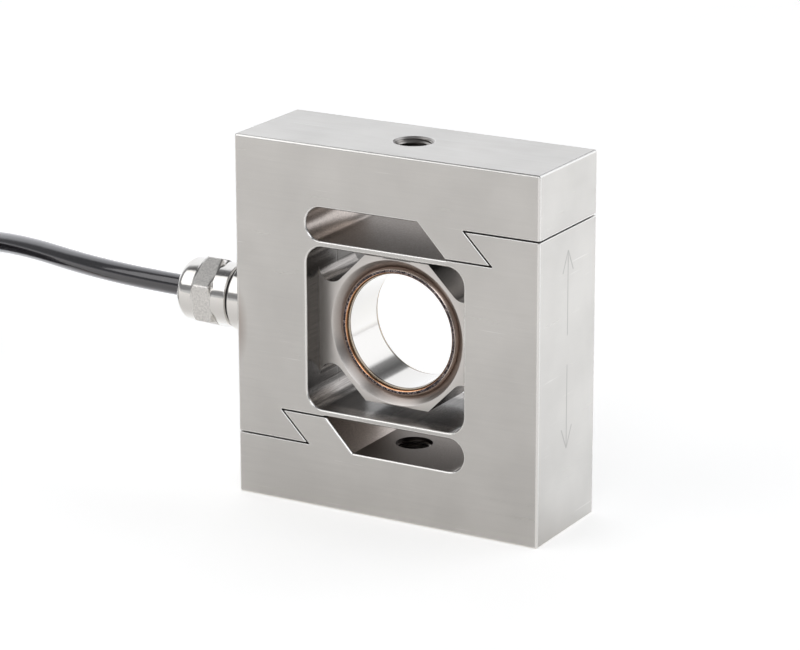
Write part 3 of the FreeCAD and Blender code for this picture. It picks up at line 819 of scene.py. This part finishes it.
class LOADCELL_OT_gland(bpy.types.Operator):
    """Makes the gland's nut with its blunt rounded end, and gives body, rings and seal their materials"""
    bl_idname = "loadcell.gland"
    bl_label = "Cable gland"
    bl_options = {"REGISTER", "UNDO"}

    def execute(self, context):
        steel = gland_steel()
        dress(["gland_body"], steel)
        self.make_nut(context, steel)
        dress(["gland_o_ring"], soft_plastic("nitrile_sealing_ring", "#1B1918", 0.5))
        dress(["gland_grommet"], soft_plastic("moulded_rubber_grommet", "#201E1D", 0.6))
        dress(["gland_washer"], soft_plastic("turned_nylon_washer", "#DAD6CB", 0.4))
        return {"FINISHED"}

    def make_nut(self, context, steel):
        """Round collar and end in one turned piece, joined to a hexagon with crowned corners."""
        size = sizes()
        collar, bend = size.nut_radius / MM, size.nut_end_round / MM
        hole = size.cable_diameter / 2 / MM + 0.25
        start, hex_start, hex_end = 6.9, 10.6, 15.9
        washer_end, washer_r = 15.2, 5.55
        corner = size.nut_flats / MM / 2 / math.cos(math.radians(30))
        end = size.nut_length / MM + start
        outline = [(washer_end, washer_r), (start, washer_r), (start, collar - 0.3), (start + 0.3, collar)]
        for degrees in range(0, 91, 10):
            turned = math.radians(degrees)
            outline.append((end - bend + bend * math.sin(turned), collar - bend + bend * math.cos(turned)))
        outline += [(end, hole + 0.35), (end - 0.35, hole), (washer_end, hole)]
        nut = self.lathe(outline)
        inner = collar - 0.6
        crown = self.lathe([(hex_start, inner), (hex_start, corner - 0.4), (hex_start + 1.2, corner + 2),
                            (hex_end - 2.8, corner + 2), (hex_end, corner - 1.5), (hex_end, inner)])
        deselect_all()
        middle = (-HALF_BLOCK[0] - (hex_start + hex_end) / 2) * MM
        bpy.ops.mesh.primitive_cylinder_add(vertices=6, radius=corner * MM,
                                            depth=(hex_end - hex_start + 1) * MM,
                                            location=(middle, 0, MID_Z * MM), rotation=(0, math.pi / 2, 0))
        hexagon = context.object
        bpy.ops.object.transform_apply(location=False, rotation=True, scale=False)
        hexagon.rotation_euler = (-math.radians(HEX_TURN), 0, 0)
        add_modifier("BOOLEAN", operation="INTERSECT", object=crown, solver="EXACT")
        context.view_layer.objects.active = nut
        add_modifier("BOOLEAN", operation="UNION", object=hexagon, solver="EXACT")
        for spent in (crown, hexagon):
            bpy.data.objects.remove(spent)
        make_piece("turned_gland_nut", steel, ["gland_nut"], math.radians(25))

    def lathe(self, outline):
        """Turns a closed outline, given as distances from the block and radii, round the gland's axis."""
        deselect_all()
        bpy.ops.mesh.primitive_plane_add(size=MM, location=(-HALF_BLOCK[0] * MM, 0, MID_Z * MM))
        edit_mode()
        bpy.ops.mesh.merge(type="CENTER")
        far, r = outline[0]
        bpy.ops.transform.translate(value=(-far * MM, 0, r * MM))
        for (far, r), (next_far, next_r) in zip(outline, outline[1:]):
            step = ((far - next_far) * MM, 0, (next_r - r) * MM)
            bpy.ops.mesh.extrude_vertices_move(TRANSFORM_OT_translate={"value": step})
        bpy.ops.mesh.select_all(action="SELECT")
        bpy.ops.mesh.edge_face_add()
        bpy.ops.mesh.delete(type="ONLY_FACE")
        object_mode()
        add_modifier("SCREW", axis="X", steps=96, render_steps=96, use_merge_vertices=True,
                     merge_threshold=0.001 * MM)
        edit_mode()
        bpy.ops.mesh.normals_make_consistent(inside=False)
        object_mode()
        return bpy.context.object


def coil_points():
    """The coil's route: an oval wound from the top layer down, with two turns side by side in each.
    A turn steps to the next place within a tenth of its way round, each time a little sooner."""
    size = sizes()
    outer, inner = size.coil_outer_r / MM, size.coil_inner_r / MM
    straight, layer, low = size.coil_straight / MM, size.coil_layer / MM, size.cable_diameter / 2 / MM
    places = []
    for level in reversed(range(size.coil_layers)):
        pair = [(outer, low + level * layer), (inner, low + level * layer)]
        places += pair if (size.coil_layers - level) % 2 else pair[::-1]
    places.append(places[-1])
    mean = (outer + inner) / 2
    bend_way = math.pi * mean
    lap = 2 * (straight + bend_way)
    # A quadratic spline passes inside its points by this share in a bend with a point each 30 degrees
    inside = (6 + 2 * math.cos(math.radians(30))) / 8
    stations = []
    for end in (0, 1):
        start = end * (straight + bend_way)
        stations += [(start + straight * share, end, share, None) for share in (0.27, 0.5, 0.73)]
        stations += [(start + straight + bend_way * degrees / 180, end, 1.0, degrees)
                     for degrees in range(15, 180, 30)]
    sooner, stepping = 1.13, 0.09
    points = []
    for turn in range(2 * size.coil_layers):
        for way, end, share, degrees in stations:
            gone = (turn + way / lap) * sooner
            if gone > 2 * size.coil_layers - 0.02:
                break
            here, there = places[int(gone)], places[int(gone) + 1]
            step = max(0.0, (gone % 1 - 1) / stepping + 1)
            r, z = (a + (b - a) * step for a, b in zip(here, there))
            side = 1 - 2 * end
            if degrees is None:
                x, y = straight * (0.5 - share), r
            else:
                turned = math.radians(degrees)
                x = -straight / 2 - r / inside * math.sin(turned)
                y = r / inside * math.cos(turned)
            points.append((COIL_CENTRE[0] + side * x, COIL_CENTRE[1] + side * y, z))
    return points


class LOADCELL_OT_cable(bpy.types.Operator):
    """Runs the cable out of the gland, winds its spare length into the coil and brings it off again"""
    bl_idname = "loadcell.cable"
    bl_label = "Cable"
    bl_options = {"REGISTER", "UNDO"}

    def execute(self, context):
        size = sizes()
        curve = bpy.data.curves.new("sensor_cable", "CURVE")
        curve.dimensions = "3D"
        spline = curve.splines.new("NURBS")
        route = RUN_POINTS + coil_points() + TAIL_POINTS
        spline.points.add(len(route) - 1)
        for point, place in zip(spline.points, route):
            point.co = (*(value * MM for value in place), 1)
        spline.order_u = 3
        spline.use_endpoint_u = True
        curve.resolution_u = 5
        curve.bevel_depth = size.cable_diameter / 2
        curve.bevel_resolution = 8
        curve.use_fill_caps = True
        curve.materials.append(jacket_pvc())
        cable = bpy.data.objects.new("sensor_cable", curve)
        context.collection.objects.link(cable)
        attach(cable, "root")
        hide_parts("cable_run", "cable_coil", "cable_tail")
        on_cable = ["cable_end_sleeve", "core_tips", "shield_wire"]
        on_cable += [f"{kind}_{shade}" for kind in ("core", "inner_lead")
                     for shade in ("red", "black", "green", "white")]
        on_cable += ["gland_body", "gland_o_ring", "gland_grommet", "gland_washer", "turned_gland_nut"]
        return {"FINISHED"}


class LOADCELL_OT_free_end(bpy.types.Operator):
    """Gives the shrunk sleeve, the cores inside and out, their tips and the drain wire their materials"""
    bl_idname = "loadcell.free_end"
    bl_label = "Free end"
    bl_options = {"REGISTER", "UNDO"}

    def execute(self, context):
        insulation = {"red": "#B3211D", "black": "#1A1A1B", "green": "#1E7A3A", "white": "#E9E7E0"}
        for shade, code in insulation.items():
            dress([f"core_{shade}", f"inner_lead_{shade}"],
                  soft_plastic(f"{shade}_pvc_insulation", code, 0.36))
        dress(["cable_end_sleeve"], soft_plastic("shrunk_polyolefin_sleeve", "#1C1C1D", 0.5,
                                                   grit_mm=0.8, relief_mm=0.04))
        dress(["core_tips", "shield_wire"], tinned_copper())
        return {"FINISHED"}


class LOADCELL_OT_stage(bpy.types.Operator):
    """Sets up the pale floor, the studio round it, the soft box and the camera"""
    bl_idname = "loadcell.stage"
    bl_label = "Stage"
    bl_options = {"REGISTER", "UNDO"}

    def execute(self, context):
        self.make_floor(context)
        self.make_world(context)
        self.make_lamps(context)
        self.make_camera(context)
        context.scene.view_settings.view_transform = "Standard"
        return {"FINISHED"}

    def make_floor(self, context):
        deselect_all()
        bpy.ops.mesh.primitive_plane_add(size=stage_values().floor_size)
        floor = context.object
        floor.name = "floor"
        material, add = new_material("pale_floor")
        rays = add("LightPath")
        place = add("SeparateXYZ", add("TexCoord").outputs["Object"])
        # Polished metal sees the floor dim in front of the block and bright behind it, a glow painted for
        # glossy rays, with a little painted shade just in front of the block for its contact shadow
        place = add("MapRange", place.outputs[1], -0.25, 0.75)
        spread = add("ValToRGB", place)
        set_stops(spread, [(0.0, (0.275, 0.267, 0.261)), (0.235, (0.235, 0.23, 0.225)),
                           (0.27, (0.60, 0.62, 0.64)), (0.5, (0.76, 0.78, 0.80)),
                           (1.0, (0.46, 0.47, 0.48))])
        shown = add("VectorMath SCALE", spread, rays.outputs["Is Glossy Ray"])
        seen = add("Math MULTIPLY", rays.outputs["Is Camera Ray"], 0.48)
        level = add("VectorMath ADD", shown, seen)
        glow = add("Emission", {"Color": level, "Strength": 1.0})
        shade = add("BsdfDiffuse", {"Color": (0.87, 0.86, 0.845)})
        add("OutputMaterial", add("AddShader", glow, shade))
        floor.data.materials.append(material)

    def make_world(self, context):
        world = bpy.data.worlds.new("studio")
        world.use_nodes = True
        context.scene.world = world
        world.node_tree.nodes.clear()
        add = node_adder(world.node_tree)
        rays = add("LightPath")
        around = add("TexCoord").outputs["Generated"]
        look = add("SeparateXYZ", around)
        back = add("MapRange", look.outputs[1], 0.02, 0.22, 0.26, stage_values().back_level)
        # The backdrop is brighter on the right
        right = add("MapRange", look.outputs[0], -0.1, 0.4, 1.0, 1.12)
        back = add("Math MULTIPLY", back, right)
        # The room in front is light at floor level and dark over it
        front_wall = add("MapRange", look.outputs[2], 0.06, 0.09, 0.66, 0.26)
        in_front = add("MapRange", look.outputs[1], 0.0, -0.1)
        back = add("Mix", in_front, back, front_wall)
        # A white panel in front on the right lights the edges that face it, and a small lamp by the
        # camera glints on the welded lip
        panel = ((0.478, -0.542, 0.691), 0.94, 0.96, 1.3)
        lamp = ((0.213, -0.896, 0.390), 0.972, 0.982, 2.2)
        for toward, outline, full, strength in (panel, lamp):
            spot = add("VectorMath DOT_PRODUCT", around, toward)
            spot = add("MapRange", spot, outline, full)
            back = add("Mix", spot, back, strength)
        # The ceiling is dark
        roof = add("MapRange", look.outputs[2], 0.78, 0.83)
        back = add("Mix", roof, back, 0.12)
        # A dark card hangs behind, over the block, and gives the sleeve its dark band
        slant = add("SeparateXYZ", around).outputs[0]
        card = add("ValToRGB", add("MapRange", slant, -0.3, 0.3))
        greys = ((0.20, 0.0), (0.27, 0.85), (0.50, 1.0), (0.82, 0.85), (0.93, 0.0))
        set_stops(card, [(place, (grey,) * 3) for place, grey in greys])
        behind = add("MapRange", look.outputs[1], 0.70, 0.76)
        above = add("MapRange", look.outputs[2], 0.10, 0.20)
        behind = add("Math MULTIPLY", behind, above)
        card = add("Math MULTIPLY", card, behind)
        back = add("Mix", card, back, 0.12)
        level = add("Mix", rays.outputs["Is Camera Ray"], back, 1.0)
        # The room is a slightly cool white, and the camera sees a plain white backdrop
        white = add("Mix RGBA", rays.outputs["Is Camera Ray"], (0.975, 0.995, 1.025), (1, 1, 1))
        add("OutputWorld", add("Background", {"Color": white, "Strength": level}))

    def make_lamps(self, context):
        centre = Vector(stage_values().target)
        toward = Vector((-0.50, -0.60, 0.64)).normalized()
        width, height, away = 0.85, 0.70, 0.95
        light = bpy.data.lights.new("soft_box", "AREA")
        light.shape = "RECTANGLE"
        light.size, light.size_y = width, height
        light.energy = stage_values().lamp_level * math.pi * width * height
        lamp = bpy.data.objects.new("soft_box", light)
        context.collection.objects.link(lamp)
        lamp.location = centre + toward * away
        lamp.rotation_euler = toward.to_track_quat("Z", "Y").to_euler()

    def make_camera(self, context):
        values = stage_values()
        turn = (Matrix.Rotation(values.azimuth, 4, "Z")
                @ Matrix.Rotation(math.pi / 2 - values.elevation, 4, "X")
                @ Matrix.Rotation(values.roll, 4, "Z"))
        camera = bpy.data.objects.new("camera", bpy.data.cameras.new("camera"))
        context.collection.objects.link(camera)
        camera.data.sensor_width = 36
        camera.data.lens = values.lens
        camera.data.clip_start = 0.01
        camera.rotation_euler = turn.to_euler()
        camera.location = Vector(values.target) + turn.to_3x3() @ Vector((0, 0, values.distance))
        context.scene.camera = camera


class LOADCELL_PT_panel(bpy.types.Panel):
    """Lists the sizes, colours and steps of the load cell"""
    bl_idname = "LOADCELL_PT_panel"
    bl_label = "Load cell"
    bl_space_type = "VIEW_3D"
    bl_region_type = "UI"
    bl_category = "Load cell"

    def draw(self, context):
        for group in (sizes(), colours(), stage_values()):
            box = self.layout.box()
            for name in group.__annotations__:
                box.prop(group, name)
        for step in STEPS:
            self.layout.operator(step.bl_idname)


GROUPS = (LoadCellSizes, LoadCellColours, LoadCellStage)
STEPS = (LOADCELL_OT_stage, LOADCELL_OT_gland, LOADCELL_OT_cable, LOADCELL_OT_free_end,
         LOADCELL_OT_block, LOADCELL_OT_threads, LOADCELL_OT_welds, LOADCELL_OT_sleeve,
         LOADCELL_OT_bridge)


def register():
    for made in (*GROUPS, *STEPS, LOADCELL_PT_panel):
        bpy.utils.register_class(made)
    bpy.types.Scene.load_cell_sizes = PointerProperty(type=LoadCellSizes)
    bpy.types.Scene.load_cell_colours = PointerProperty(type=LoadCellColours)
    bpy.types.Scene.load_cell_stage = PointerProperty(type=LoadCellStage)


def unregister():
    del bpy.types.Scene.load_cell_stage
    del bpy.types.Scene.load_cell_colours
    del bpy.types.Scene.load_cell_sizes
    for made in reversed((*GROUPS, *STEPS, LOADCELL_PT_panel)):
        bpy.utils.unregister_class(made)


def main():
    register()
    for step in STEPS:
        group, name = step.bl_idname.split(".")
        getattr(getattr(bpy.ops, group), name)()


if __name__ == "__main__":
    main()
